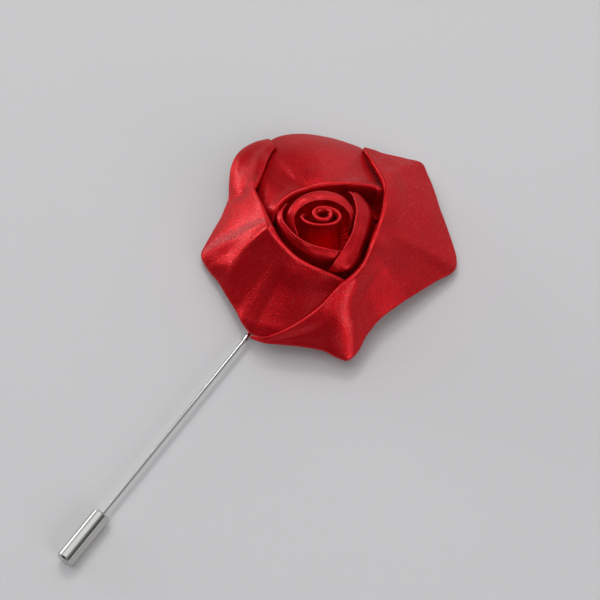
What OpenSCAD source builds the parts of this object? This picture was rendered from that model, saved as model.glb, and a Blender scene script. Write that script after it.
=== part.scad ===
// Flower lapel pin: a rose folded from wide satin ribbon, on a long stick pin
// whose point is covered by a pull-off cylinder cap.
// Millimetres, +Z up. The origin is on the needle's axis where it leaves the rose:
// the cloth of a lapel goes on the needle from there. The needle runs along -Y to
// its cap, and the pin lies on the plane that touches the cap and the rose's corners.

/* [Flower] */
// Radius of the rose, from its middle to the mean of its lower outline
flower_r = 25; // [24:0.5:27]
// Height of the rose above the surface that it lies on
flower_h = 16; // [15.5:0.25:17]
// Turn of the rose about its own middle, relative to the needle
flower_turn = 35; // [0:5:90]

/* [Ribbon] */
// Thickness of a folded ribbon wall
ribbon_t = 1; // [0.9:0.05:1]
// Thickness of the tightly wound ribbon in the middle
core_t = 0.8; // [0.7:0.05:0.9]
// Radius of a fold, at the middle of the ribbon's thickness
fold_r = 0.6; // [0.55:0.01:0.65]

/* [Pin] */
// Diameter of the needle
needle_d = 0.8; // [0.7:0.05:1]
// From the middle of the flower to the needle's point
needle_reach = 78; // [60:1:90]
// Length of the ground point, all of it inside the cap
point_l = 8; // [6:0.5:9]
// Thickness of the solder round the needle's root, under the rose
solder_t = 0.2; // [0.2:0.05:0.3]
// Diameter of the flat pad that the needle is soldered to
pad_d = 14; // [10:0.5:20]
// Thickness of the pad
pad_t = 0.8; // [0.6:0.1:0.9]

/* [Cap] */
// Diameter of the cap
cap_d = 3.5; // [3.4:0.1:4]
// Length of the cap
cap_l = 11; // [10:0.5:14]
// From the needle's point to the closed end of the cap
cap_end = 3; // [2:0.5:4]
// Radial clearance between the needle and the cap's bore
cap_fit = 0.05; // [0.03:0.01:0.08]
// Chamfer round both ends of the cap
cap_chamfer = 0.35; // [0.2:0.05:0.5]

/* [Hidden] */

satin_red = [0.72, 0.07, 0.11];
steel_grey = [0.78, 0.78, 0.76];

// The middle of the rose on the surface that the pin lies on. Heights below are
// measured up from that surface.
rose_place = [0, 1.04 * flower_r, -cap_d / 2];

// Heights of the stack under the petals, from the needle up
needle_z = cap_d / 2;
pad_bottom = needle_z;
pad_top = pad_bottom + pad_t;
glue_gap = 0.1;
base_bottom = pad_top + glue_gap;
base_t = 1.2;
base_top = base_bottom + base_t;
base_r = 13;
root_l = 0.43 * pad_d;
layer_gap = 0.3;
foot_z = base_top + layer_gap;
// How far the two edges of an outer petal's ribbon end above the inner petals' feet:
// the flap inside the flower, and the underside on the base
flap_rise = 0.1;
tuck_rise = 0.9;
tuck_end = [0.48 * flower_r, foot_z + tuck_rise];
// How far an inner petal's widest place lies above the middle of its height
knee_rise = 1.5;
// Room in the cap's bore beyond the needle's point
bore_room = 1;
// Length by which joined solids run into each other
lap = 1;

// Columns of an outer petal's table. turn is in degrees round the flower. The rim
// and hem places are shares of flower_r and flower_h. flap is how far the inner
// side runs down to the base, tuck is how far the underside runs back to it, both
// from 0 to 1, and belly is how far the outer side bulges, as a share of its length.
turn = 0;
rim_r = 1;
rim_h = 2;
hem_r = 3;
hem_h = 4;
flap = 5;
tuck = 6;
belly = 7;

top_table = [
    [ 24, 0.515, 0.570, 0.58, 0.43, 0.0, 0.0, 0.00],
    [ 30, 0.507, 0.640, 0.62, 0.43, 0.0, 0.0, 0.00],
    [ 38, 0.485, 0.735, 0.65, 0.42, 1.0, 0.0, 0.00],
    [ 47, 0.443, 0.760, 0.69, 0.39, 1.0, 0.0, 0.00],
    [ 54, 0.405, 0.775, 0.70, 0.37, 1.0, 0.0, 0.00],
    [ 58, 0.386, 0.780, 0.74, 0.34, 1.0, 0.0, 0.02],
    [ 62, 0.370, 0.780, 0.79, 0.33, 1.0, 0.0, 0.03],
    [ 66, 0.355, 0.781, 0.86, 0.29, 1.0, 0.0, 0.04],
    [ 73, 0.338, 0.781, 0.97, 0.20, 1.0, 0.6, 0.05],
    [ 88, 0.320, 0.781, 1.06, 0.17, 1.0, 1.0, 0.06],
    [ 98, 0.312, 0.775, 1.10, 0.16, 1.0, 1.0, 0.06],
    [103, 0.312, 0.770, 1.08, 0.17, 1.0, 0.5, 0.05],
    [109, 0.316, 0.768, 1.01, 0.21, 1.0, 0.0, 0.04],
    [118, 0.322, 0.762, 0.955, 0.25, 1.0, 0.0, 0.02],
    [127, 0.330, 0.757, 0.86, 0.30, 1.0, 0.0, 0.01],
    [133, 0.337, 0.755, 0.775, 0.345, 1.0, 0.0, 0.00],
    [144, 0.352, 0.750, 0.67, 0.38, 1.0, 0.0, 0.00],
    [154, 0.366, 0.735, 0.54, 0.43, 0.6, 0.0, 0.00],
    [163, 0.370, 0.690, 0.48, 0.43, 0.0, 0.0, 0.00]
];

left_table = [
    [108, 1.085, 0.235, 1.14, 0.165, 0.0, 0.0, 0.00],
    [113, 1.060, 0.280, 1.145, 0.165, 0.0, 0.0, 0.00],
    [120, 1.000, 0.330, 1.14, 0.165, 0.0, 0.1, 0.01],
    [127, 0.950, 0.370, 1.12, 0.165, 0.0, 0.3, 0.02],
    [133, 0.860, 0.440, 1.06, 0.165, 0.0, 0.6, 0.02],
    [144, 0.655, 0.570, 0.92, 0.165, 0.0, 1.0, 0.02],
    [150, 0.575, 0.630, 0.865, 0.16, 0.0, 1.0, 0.02],
    [160, 0.485, 0.710, 0.845, 0.14, 0.0, 1.0, 0.02],
    [168, 0.450, 0.740, 0.865, 0.11, 0.0, 1.0, 0.02],
    [178, 0.415, 0.765, 0.90, 0.09, 0.7, 1.0, 0.02],
    [184, 0.400, 0.775, 0.93, 0.07, 1.0, 1.0, 0.01],
    [192, 0.390, 0.785, 0.90, 0.09, 1.0, 1.0, 0.01],
    [203, 0.385, 0.790, 0.85, 0.13, 1.0, 1.0, 0.02],
    [221, 0.385, 0.810, 0.87, 0.18, 1.0, 1.0, 0.02],
    [234, 0.400, 0.815, 0.95, 0.215, 1.0, 1.0, 0.02],
    [238, 0.410, 0.815, 0.99, 0.228, 1.0, 0.8, 0.02],
    [241, 0.414, 0.815, 0.92, 0.26, 1.0, 0.0, 0.01],
    [247, 0.425, 0.815, 0.86, 0.33, 0.9, 0.0, 0.01],
    [252, 0.435, 0.810, 0.82, 0.37, 0.7, 0.0, 0.01],
    [261, 0.450, 0.805, 0.77, 0.40, 0.3, 0.0, 0.00],
    [271, 0.478, 0.795, 0.75, 0.42, 0.0, 0.0, 0.00],
    [281, 0.512, 0.770, 0.65, 0.42, 0.0, 0.0, 0.00],
    [288, 0.515, 0.700, 0.61, 0.42, 0.0, 0.0, 0.00],
    [293, 0.510, 0.640, 0.60, 0.42, 0.0, 0.0, 0.00]
];

right_table = [
    [242, 0.985, 0.300, 1.035, 0.24, 0.0, 0.0, 0.00],
    [252, 0.905, 0.420, 0.975, 0.25, 0.0, 0.2, 0.00],
    [261, 0.815, 0.540, 0.955, 0.26, 0.0, 0.4, 0.00],
    [271, 0.725, 0.670, 0.98, 0.24, 0.0, 0.6, 0.00],
    [277, 0.665, 0.735, 1.035, 0.21, 0.0, 0.8, -0.01],
    [281, 0.635, 0.765, 1.06, 0.19, 0.0, 1.0, -0.02],
    [286, 0.610, 0.785, 1.01, 0.20, 0.0, 1.0, -0.01],
    [293, 0.590, 0.800, 0.91, 0.23, 0.0, 1.0, 0.00],
    [305, 0.545, 0.815, 0.84, 0.25, 0.2, 1.0, 0.01],
    [323, 0.475, 0.815, 0.86, 0.23, 1.0, 1.0, 0.02],
    [340, 0.450, 0.805, 0.97, 0.16, 1.0, 1.0, 0.02],
    [349, 0.455, 0.795, 1.08, 0.09, 1.0, 1.0, 0.02],
    [355, 0.465, 0.790, 1.085, 0.07, 1.0, 1.0, 0.02],
    [361, 0.478, 0.785, 1.06, 0.10, 1.0, 1.0, 0.02],
    [368, 0.495, 0.775, 1.04, 0.14, 1.0, 1.0, 0.02],
    [378, 0.530, 0.755, 1.03, 0.18, 0.2, 1.0, 0.03],
    [388, 0.585, 0.715, 1.06, 0.19, 0.0, 0.9, 0.03],
    [397, 0.640, 0.655, 1.11, 0.19, 0.0, 0.8, 0.02],
    [403, 0.680, 0.605, 1.15, 0.19, 0.0, 0.7, 0.02],
    [409, 0.725, 0.550, 1.09, 0.20, 0.0, 0.6, 0.01],
    [418, 0.800, 0.455, 1.01, 0.22, 0.0, 0.3, 0.00],
    [426, 0.930, 0.330, 0.985, 0.24, 0.0, 0.0, 0.00]
];

// Columns of an inner petal's table, after the same turn, rim_r and rim_h: the
// shoulder below the rim, and the radius at the foot on the base.
shoulder_r = 3;
shoulder_h = 4;
foot_r = 5;

inner_back_table = [
    [-12, 0.225, 0.800, 0.232, 0.72, 0.230],
    [  0, 0.225, 0.860, 0.232, 0.76, 0.232],
    [ 14, 0.200, 0.890, 0.238, 0.79, 0.240],
    [ 31, 0.168, 0.905, 0.235, 0.80, 0.240],
    [ 58, 0.140, 0.910, 0.222, 0.79, 0.235],
    [ 92, 0.128, 0.910, 0.212, 0.78, 0.230],
    [122, 0.140, 0.905, 0.208, 0.78, 0.222],
    [144, 0.165, 0.890, 0.210, 0.79, 0.220],
    [164, 0.188, 0.865, 0.212, 0.79, 0.220],
    [182, 0.198, 0.830, 0.215, 0.76, 0.222],
    [205, 0.205, 0.780, 0.215, 0.70, 0.220]
];

inner_left_table = [
    [152, 0.280, 0.740, 0.280, 0.66, 0.278],
    [160, 0.282, 0.810, 0.284, 0.72, 0.282],
    [172, 0.292, 0.835, 0.292, 0.74, 0.288],
    [185, 0.298, 0.850, 0.300, 0.75, 0.296],
    [198, 0.286, 0.860, 0.300, 0.76, 0.300],
    [213, 0.274, 0.865, 0.298, 0.76, 0.302],
    [232, 0.272, 0.870, 0.300, 0.77, 0.306],
    [249, 0.280, 0.875, 0.308, 0.77, 0.312],
    [269, 0.298, 0.875, 0.322, 0.77, 0.325],
    [282, 0.322, 0.870, 0.336, 0.76, 0.338],
    [290, 0.325, 0.830, 0.332, 0.72, 0.332],
    [298, 0.305, 0.760, 0.312, 0.66, 0.312]
];

inner_right_table = [
    [275, 0.425, 0.680, 0.428, 0.60, 0.430],
    [280, 0.425, 0.735, 0.430, 0.66, 0.432],
    [287, 0.408, 0.795, 0.430, 0.72, 0.432],
    [296, 0.372, 0.840, 0.415, 0.76, 0.425],
    [307, 0.332, 0.870, 0.390, 0.78, 0.410],
    [323, 0.302, 0.875, 0.360, 0.78, 0.380],
    [342, 0.290, 0.875, 0.350, 0.77, 0.370],
    [361, 0.288, 0.875, 0.350, 0.77, 0.370],
    [377, 0.292, 0.870, 0.345, 0.77, 0.365],
    [394, 0.305, 0.840, 0.330, 0.76, 0.340],
    [406, 0.310, 0.800, 0.315, 0.72, 0.315],
    [416, 0.300, 0.720, 0.300, 0.64, 0.300]
];

// The wound middle: where its ribbon starts and ends, how it tightens, and how
// much lower its outer turn stands than its heart
core_turns = [180, 860];
core_outer_r = 0.148 * flower_r;
core_pitch = 0.06 * flower_r;
core_oval = 0.75;
core_place = [0.2, -0.9];
core_h = 0.97 * flower_h;
core_steps = 56;

// Sections along each kind of petal, and points along each stretch of one section
outer_sections = 24;
inner_sections = 22;
flap_points = 2;
rim_points = 5;
side_points = 6;
hem_points = 5;
tuck_points = 2;
inner_points = 9;
bore_fn = 48;

function clamp01(x) = min(1, max(0, x));
function polar(r, a) = [r * cos(a), r * sin(a)];
function unit(v) = v / norm(v);

// One row of a table at turn t: a smooth curve through the rows on either side
function slope(rows, i) =
    let (a = max(0, i - 1), b = min(len(rows) - 1, i + 1))
    (rows[b] - rows[a]) / (rows[b][turn] - rows[a][turn]);
function span_at(rows, t, i = 0) =
    i >= len(rows) - 2 || t < rows[i + 1][turn] ? i : span_at(rows, t, i + 1);
function row_at(rows, t) =
    let (i = span_at(rows, t),
         w = rows[i + 1][turn] - rows[i][turn],
         u = (t - rows[i][turn]) / w)
    (2 * u^3 - 3 * u^2 + 1) * rows[i] + (u^3 - 2 * u^2 + u) * w * slope(rows, i)
    + (3 * u^2 - 2 * u^3) * rows[i + 1] + (u^3 - u^2) * w * slope(rows, i + 1);
function spread(rows, n) =
    let (first = rows[0][turn], last = rows[len(rows) - 1][turn])
    [for (k = [0 : n]) row_at(rows, first + (last - first) * k / n)];

// The middle line of an outer petal's section: up the inner flap, over the rim,
// down the outer side, round the hem and back under
function outer_line(row) =
    let (rim = [row[rim_r] * flower_r, row[rim_h] * flower_h - ribbon_t / 2 - fold_r],
         hem = [row[hem_r] * flower_r - fold_r - ribbon_t / 2, row[hem_h] * flower_h],
         down = unit(hem - rim),
         out = [-down[1], down[0]],
         lean = atan2(out[1], out[0]),
         side = norm(hem - rim),
         flap_on = clamp01(row[flap]),
         tuck_on = clamp01(row[tuck]),
         lip = rim[1] - layer_gap,
         flap_end = lip + (foot_z + flap_rise - lip) * flap_on,
         under = hem - [0, fold_r],
         room = max(0, rim[0] + layer_gap - tuck_end[0]) * flap_on,
         rest = tuck_end + [room, 0],
         way = (rest - under) * tuck_on,
         tuck_way = norm(way) < fold_r ? [-fold_r, 0] : way)
    concat(
        [for (k = [0 : flap_points - 1])
            [rim[0] - fold_r, flap_end + (rim[1] - flap_end) * k / flap_points]],
        [for (k = [0 : rim_points - 1])
            rim + polar(fold_r, 180 + (lean - 180) * k / rim_points)],
        [for (k = [0 : side_points])
            let (v = k / side_points)
            rim + out * fold_r + down * side * v + out * row[belly] * side * 4 * v * (1 - v)],
        [for (k = [1 : hem_points])
            hem + polar(fold_r, lean + (-90 - lean) * k / hem_points)],
        [for (k = [1 : tuck_points]) under + tuck_way * k / tuck_points]);

// The middle line of an inner petal's section: from the rim down to the base
function inner_line(row) =
    let (rim = [row[rim_r] * flower_r, row[rim_h] * flower_h - ribbon_t / 2],
         shoulder = [row[shoulder_r] * flower_r, row[shoulder_h] * flower_h],
         foot = [row[foot_r] * flower_r, foot_z],
         knee = [foot[0], (shoulder[1] + base_top) / 2 + knee_rise],
         bend = rim + (shoulder - rim) * 1.15)
    [for (k = [0 : inner_points - 1])
        let (u = k / (inner_points - 1), w = 1 - u)
        w^3 * rim + 3 * u * w^2 * bend + 3 * u^2 * w * knee + u^3 * foot];

// The normal of a line at point i, lengthened at a corner to keep the wall's width
function side_of(a, b) = unit([a[1] - b[1], b[0] - a[0]]);
function normal_at(line, i) =
    let (last = len(line) - 1,
         before = side_of(line[max(0, i - 1)], line[max(1, i)]),
         after = side_of(line[min(last - 1, i)], line[min(last, i + 1)]),
         mid = unit(before + after))
    mid / max(0.75, mid * after);

// A wall of thickness t round a line, as one closed ring of points
function wall(line, t) =
    let (n = len(line))
    concat([for (i = [0 : n - 1]) line[i] + normal_at(line, i) * t / 2],
           [for (i = [n - 1 : -1 : 0]) line[i] - normal_at(line, i) * t / 2]);

// A closed solid through rings that all have the same number of points, each ring
// being a wall: both ends are closed by quads across the wall
module skin(rings) {
    n = len(rings[0]);
    m = len(rings);
    points = [for (ring = rings) each ring];
    sides = [for (j = [0 : m - 2], i = [0 : n - 1])
        let (k = (i + 1) % n, a = j * n + i, b = j * n + k, c = a + n, d = b + n)
        each [[a, c, b], [b, c, d]]];
    ends = [for (i = [0 : n / 2 - 2])
        let (p = i, q = i + 1, r = n - 2 - i, s = n - 1 - i, o = (m - 1) * n)
        each [[p, q, r], [p, r, s], [o + p, o + r, o + q], [o + p, o + s, o + r]]];
    polyhedron(points, concat(sides, ends));
}

// A petal: its sections stand at their turns round the flower's middle
module petal(rows, lines) {
    rings = [for (k = [0 : len(rows) - 1])
        let (a = rows[k][turn] + flower_turn)
        [for (p = wall(lines[k], ribbon_t)) [p[0] * cos(a), p[0] * sin(a), p[1]]]];
    color(satin_red) translate(rose_place) skin(rings);
}

module outer_petal(rows) {
    all = spread(rows, outer_sections);
    petal(all, [for (row = all) outer_line(row)]);
}

module inner_petal(rows) {
    all = spread(rows, inner_sections);
    petal(all, [for (row = all) inner_line(row)]);
}

module outer_petal_top() outer_petal(top_table);
module outer_petal_left() outer_petal(left_table);
module outer_petal_right() outer_petal(right_table);
module inner_petal_back() inner_petal(inner_back_table);
module inner_petal_left() inner_petal(inner_left_table);
module inner_petal_right() inner_petal(inner_right_table);

// The wound middle: one ribbon wall along an oval spiral, a little higher and
// narrower at the top of its inner turns
function core_point(a) =
    let (r = core_outer_r - core_pitch * (a - core_turns[0]) / 360)
    core_place + [r * cos(a), core_oval * r * sin(a)];
module core_roll() {
    step = (core_turns[1] - core_turns[0]) / core_steps;
    line = [for (k = [0 : core_steps]) core_point(core_turns[0] + step * k)];
    rings = [for (k = [0 : core_steps])
        let (out = normal_at(line, k) * core_t / 2, p = line[k], q = p - core_place,
             top = core_h - 0.5 * core_t * (1 - k / core_steps))
        [[p[0] + out[0], p[1] + out[1], foot_z], [p[0] + out[0], p[1] + out[1], top],
         [p[0] - out[0], p[1] - out[1], top], [p[0] - out[0], p[1] - out[1], foot_z]]];
    color(satin_red) translate(rose_place) rotate([0, 0, flower_turn]) skin(rings);
}

// The ribbon's gathered lower edges, closed to a plain flat round under the petals
module gathered_base() {
    color(satin_red) translate(rose_place + [0, 0, base_bottom])
        cylinder(h = base_t, r = base_r, $fn = 64);
}

// Needle, ground point and flat pad, soldered to one piece
module stick_pin() {
    color(steel_grey) translate(rose_place) {
        translate([0, 0, pad_bottom]) cylinder(h = pad_t, d = pad_d, $fn = 64);
        translate([0, 0, needle_z]) rotate([90, 0, 0]) {
            translate([0, 0, -root_l])
                cylinder(h = root_l + rose_place[1], d = needle_d + 2 * solder_t, $fn = bore_fn);
            translate([0, 0, rose_place[1] - lap])
                cylinder(h = needle_reach - point_l - rose_place[1] + lap, d = needle_d, $fn = bore_fn);
            translate([0, 0, needle_reach - point_l])
                cylinder(h = point_l, d1 = needle_d, d2 = 0.12 * needle_d, $fn = bore_fn);
        }
    }
}

// Cap: a turned cylinder with both edges chamfered and a blind bore for the needle
module pin_cap() {
    bore_r = needle_d / 2 + cap_fit;
    bore_l = cap_l - cap_end + bore_room;
    color(steel_grey) translate(rose_place + [0, -needle_reach - cap_end, needle_z]) rotate([-90, 0, 0])
        difference() {
            union() {
                cylinder(h = cap_chamfer, d1 = cap_d - 2 * cap_chamfer, d2 = cap_d, $fn = bore_fn);
                translate([0, 0, cap_chamfer])
                    cylinder(h = cap_l - 2 * cap_chamfer, d = cap_d, $fn = bore_fn);
                translate([0, 0, cap_l - cap_chamfer])
                    cylinder(h = cap_chamfer, d1 = cap_d, d2 = cap_d - 2 * cap_chamfer, $fn = bore_fn);
            }
            translate([0, 0, cap_l - bore_l]) cylinder(h = bore_l + lap, r = bore_r, $fn = bore_fn);
        }
}

core_roll();
inner_petal_back();
inner_petal_left();
inner_petal_right();
outer_petal_top();
outer_petal_left();
outer_petal_right();
gathered_base();
stick_pin();
pin_cap();
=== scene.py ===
import bpy
import numpy as np
from math import radians, cos, sin
from mathutils import Matrix, Vector


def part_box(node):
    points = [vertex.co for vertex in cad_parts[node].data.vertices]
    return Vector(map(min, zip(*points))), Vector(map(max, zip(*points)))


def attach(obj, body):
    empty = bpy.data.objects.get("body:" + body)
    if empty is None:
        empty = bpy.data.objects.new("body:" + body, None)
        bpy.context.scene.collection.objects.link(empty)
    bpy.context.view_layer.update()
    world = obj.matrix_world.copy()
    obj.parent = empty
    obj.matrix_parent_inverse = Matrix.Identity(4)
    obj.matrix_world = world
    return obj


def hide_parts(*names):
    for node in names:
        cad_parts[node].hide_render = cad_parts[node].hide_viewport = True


# Flower lapel pin: a rose folded from red satin ribbon on a steel stick pin with a cap.
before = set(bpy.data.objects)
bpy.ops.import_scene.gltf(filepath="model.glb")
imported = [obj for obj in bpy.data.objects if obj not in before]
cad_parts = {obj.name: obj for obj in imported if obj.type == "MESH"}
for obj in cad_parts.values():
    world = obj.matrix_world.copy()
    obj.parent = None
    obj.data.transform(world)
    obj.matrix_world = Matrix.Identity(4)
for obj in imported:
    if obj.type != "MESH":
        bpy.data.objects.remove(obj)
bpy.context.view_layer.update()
print("frame loaded")

mm = 0.001
baseLow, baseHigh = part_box("gathered_base")
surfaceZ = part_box("pin_cap")[0][2]  # the cap and the rose's corners touch the surface
rose = {
    "radius": 25 * mm,  # what the tables' radii are shares of
    "height": 16 * mm,  # and their heights
    "turn": 35.0,  # degrees, from the needle's frame to the rose's own
    "place": ((baseLow[0] + baseHigh[0]) / 2, (baseLow[1] + baseHigh[1]) / 2, surfaceZ),
    "wall": 0.45 * mm,  # of the doubled ribbon
    "fold": 0.38 * mm,  # radius of the folds at rim and hem
    "foot": baseHigh[2] - surfaceZ + 0.3 * mm,  # height where the petals stand on the base
    "footGap": 0.1 * mm,
    "lip": 0.3 * mm,  # what a petal's inner side keeps of its length where it runs out
    "tuckEnd": 12.0 * mm,  # radius where the ribbon folded under the hem ends
    "tuckRise": 0.9 * mm,
    "tuckRoom": 0.3 * mm,
    "rimPull": 0.3,  # how far an inner petal leaves its rim straight, of the way out
    "shoulderPull": 0.38,  # and its shoulder
    "rimFree": 6,  # the waves grow over one over this of an inner petal's section
    "ribbonRadius": 14 * mm,  # where the ribbon's coordinates have their true length
}

# Spaces between points along each stretch of a section.
counts = {"flap": 9, "round": 11, "side": 55, "tuck": 13, "crown": 24, "inner": 24, "edge": 5}

# Slackness of the cloth: how fast each of three waves runs with the turn, in radians per
# degree, and with the share of the side.
slack = {
    "height": 0.05 * mm,
    "first": (0.11, 5),
    "second": (0.05, 7),
    "third": (0.19, 6),
    "thirdShare": 0.3,
}

# How turns and shares become lengths for the creases, and a crease's usual crest and power.
creaseScale = {"perDegree": 0.3 * mm, "side": 12 * mm, "crest": 0.3 * mm, "power": 1.3}


# A smooth curve through the rows of a table: cubic Hermite, with the slope at a row
# taken between its two neighbours. turns is an array, and so is the result.
def rowsAt(table, turns):
    rows = np.array(table, float)
    knots, values = rows[:, 0], rows[:, 1:]
    slopes = np.empty_like(values)
    slopes[1:-1] = (values[2:] - values[:-2]) / (knots[2:] - knots[:-2])[:, None]
    slopes[0] = (values[1] - values[0]) / (knots[1] - knots[0])
    slopes[-1] = (values[-1] - values[-2]) / (knots[-1] - knots[-2])
    at = np.clip(np.searchsorted(knots, turns, side="right") - 1, 0, len(knots) - 2)
    width = (knots[at + 1] - knots[at])[:, None]
    u = (turns[:, None] - knots[at][:, None]) / width
    return ((2 * u**3 - 3 * u**2 + 1) * values[at] + (u**3 - 2 * u**2 + u) * width * slopes[at]
            + (3 * u**2 - 2 * u**3) * values[at + 1] + (u**3 - u**2) * width * slopes[at + 1])


# Each vector of the last axis divided by its length.
def unit(vectors):
    return vectors / np.maximum(np.linalg.norm(vectors, axis=-1, keepdims=True), 1e-12)


# From 0 to 1 and level at both ends: 3 x squared minus 2 x cubed.
def smooth(x):
    x = np.clip(x, 0, 1)
    return x * x * (3 - 2 * x)


# Even shares from 0 to 1, both included, with this many spaces between them.
def evenly(spaces):
    return np.linspace(0, 1, spaces + 1)


# Straight stretch: the points from first to last at the shares given.
def stretch(first, last, shares):
    return first[:, None] + (last - first)[:, None] * shares[None, :, None]


# Round stretch: centre plus radius times the cosine and sine of each angle.
def arc(centre, radius, start, end, shares):
    angle = start[:, None] + (end - start)[:, None] * shares
    return centre[:, None] + radius[:, None, None] * np.stack([np.cos(angle), np.sin(angle)], -1)


# How much of the full thickness each section has: from the share at each end, over the
# degrees that the petal's ends give, up to all of it.
def endTaper(turns, ends):
    (firstSpan, firstShare), (lastSpan, lastShare) = ends
    first = firstShare + (1 - firstShare) * smooth((turns - turns[0]) / firstSpan)
    last = lastShare + (1 - lastShare) * smooth((turns[-1] - turns) / lastSpan)
    return first * last


# The middle line of an outer petal's section, as in the CAD: up the flap, over the
# rim, down the outer side with a bulge of four times the belly times v times (1 - v),
# round the hem and back under. Also gives each point's share v of the outer side, and
# how much of a crease it takes: all of it there, and none at the ribbon's two edges.
def outerLines(rows, taper):
    rimR, rimH, hemR, hemH, flap, tuck, belly = rows.T
    fold, wall = rose["fold"] * taper, rose["wall"] * taper
    rim = np.stack([rimR * rose["radius"], rimH * rose["height"] - wall / 2 - fold], -1)
    hem = np.stack([hemR * rose["radius"] - fold - wall / 2, hemH * rose["height"]], -1)
    down = unit(hem - rim)
    out = np.stack([-down[:, 1], down[:, 0]], -1)
    lean = np.arctan2(out[:, 1], out[:, 0])
    side = np.linalg.norm(hem - rim, axis=-1)
    flap, tuck = np.clip(flap, 0, 1), np.clip(tuck, 0, 1)
    lip = rim[:, 1] - rose["lip"]
    flapFoot = rim.copy()
    flapFoot[:, 0] -= fold
    flapFoot[:, 1] = lip + (rose["foot"] + rose["footGap"] - lip) * flap
    flapTop = rim.copy()
    flapTop[:, 0] -= fold
    under = hem.copy()
    under[:, 1] -= fold
    room = np.maximum(0, rim[:, 0] + rose["tuckRoom"] - rose["tuckEnd"]) * smooth(2 * flap - 1)
    rest = np.stack([rose["tuckEnd"] + room, np.full_like(room, rose["foot"] + rose["tuckRise"])], -1)
    way = (rest - under) * tuck[:, None]
    short = np.linalg.norm(way, axis=-1) < fold
    way[short] = np.stack([-fold, 0 * fold], -1)[short]
    v = evenly(counts["side"])
    bulge = (belly * side)[:, None] * 4 * v * (1 - v)
    edge = fold[:, None] * out
    outer = stretch(rim + edge, hem + edge, v) + out[:, None] * bulge[..., None]
    overRim, roundHem = evenly(counts["round"])[:-1], evenly(counts["round"])[1:]
    upFlap, underHem = evenly(counts["flap"])[:-1], evenly(counts["tuck"])[1:]
    lines = [
        stretch(flapFoot, flapTop, upFlap),
        arc(rim, fold, np.full_like(lean, np.pi), lean, overRim),
        outer,
        arc(hem, fold, lean, np.full_like(lean, -np.pi / 2), roundHem),
        stretch(under, under + way, underHem),
    ]
    shares = np.concatenate([0 * upFlap, 0 * overRim, v, 1 + 0 * roundHem, 1 + 0 * underHem])
    takes = np.concatenate([0 * upFlap, smooth(overRim), 1 + 0 * v, 1 - smooth(roundHem), 0 * underHem])
    return np.concatenate(lines, 1), shares, takes


# Cubic Bezier curve from first to last, with its two control points the given moves away.
def bezier(first, leave, arrive, last, shares):
    u = shares[None, :, None]
    w = 1 - u
    return (w**3 * first[:, None] + 3 * u * w**2 * (first + leave)[:, None]
            + 3 * u**2 * w * (last - arrive)[:, None] + u**3 * last[:, None])


# The middle line of an inner petal's section: from the rim out to the shoulder, round
# it, and down to the foot on the base, as two curves that meet in one direction.
def innerLines(rows, taper):
    rimR, rimH, shoulderR, shoulderH, footR = rows.T
    rim = np.stack([rimR * rose["radius"], rimH * rose["height"] - rose["wall"] * taper / 2], -1)
    shoulder = np.stack([shoulderR * rose["radius"], shoulderH * rose["height"]], -1)
    foot = np.stack([footR * rose["radius"], np.full_like(footR, rose["foot"])], -1)
    over, fall = shoulder - rim, foot - shoulder
    reach = np.linalg.norm(over, axis=-1, keepdims=True)
    bend = unit(unit(over) + unit(fall))
    drop = np.linalg.norm(fall, axis=-1, keepdims=True)
    turnOver = bend * reach * rose["shoulderPull"]
    upright = np.stack([0 * footR, -drop[:, 0] / 3], -1)
    crown = bezier(rim, over * rose["rimPull"], turnOver, shoulder, evenly(counts["crown"])[:-1])
    side = bezier(shoulder, turnOver, upright, foot, evenly(counts["inner"]))
    shares = evenly(counts["crown"] + counts["inner"])
    return np.concatenate([crown, side], 1), shares, smooth(shares * rose["rimFree"])


# The height of a petal's creases at each turn and share: for each crease its height
# times e to the minus power of its reach, which is the distance to its path over its
# width, rounded at the crest.
def creaseHeights(creases, turns, shares):
    x = (turns[:, None] * creaseScale["perDegree"]) + 0 * shares
    y = shares[None, :] * creaseScale["side"] + 0 * x
    total = np.zeros_like(x)
    for crease in creases:
        path = np.array(crease["path"], float) * (creaseScale["perDegree"], creaseScale["side"])
        nearest = np.full_like(x, np.inf)
        for (ax, ay), (bx, by) in zip(path[:-1], path[1:]):
            dx, dy = bx - ax, by - ay
            along = np.clip(((x - ax) * dx + (y - ay) * dy) / (dx * dx + dy * dy), 0, 1)
            nearest = np.minimum(nearest, np.hypot(x - ax - along * dx, y - ay - along * dy))
        crest = crease.get("crest", creaseScale["crest"])
        reach = (np.sqrt(nearest**2 + crest**2) - crest) / crease["width"]
        total += crease["height"] * np.exp(-reach**crease.get("power", creaseScale["power"]))
    return total


# Slow soft unevenness of folded cloth, as the product of two sine waves plus a third.
def waves(turns, shares, seed):
    t, v = turns[:, None], shares[None, :]
    (firstTurn, firstSide), (secondTurn, secondSide) = slack["first"], slack["second"]
    thirdTurn, thirdSide = slack["third"]
    product = (np.sin(firstTurn * t + firstSide * v + seed)
               * np.sin(secondSide * v - secondTurn * t + 2 * seed))
    third = np.sin(thirdTurn * t - thirdSide * v + 3 * seed)
    return slack["height"] * (product + slack["thirdShare"] * third)


# A wall round each middle line: both sides half the thickness away along the normal,
# joined at the two ends by half circles. The rings are closed.
def wallRings(lines, thickness):
    tangent = unit(np.gradient(lines, axis=1))
    normal = np.stack([-tangent[..., 1], tangent[..., 0]], -1)
    half = (thickness / 2)[:, None, None]
    angle = np.pi * evenly(counts["edge"] + 1)[1:-1]

    def endCap(index, sign):
        n, t = normal[:, index, None], tangent[:, index, None] * sign
        turnTo = sign * np.cos(angle)[None, :, None]
        return lines[:, index, None] + half * (n * turnTo + t * np.sin(angle)[None, :, None])

    return np.concatenate([lines + normal * half, endCap(-1, 1),
                           (lines - normal * half)[:, ::-1], endCap(0, -1)], 1)


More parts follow.
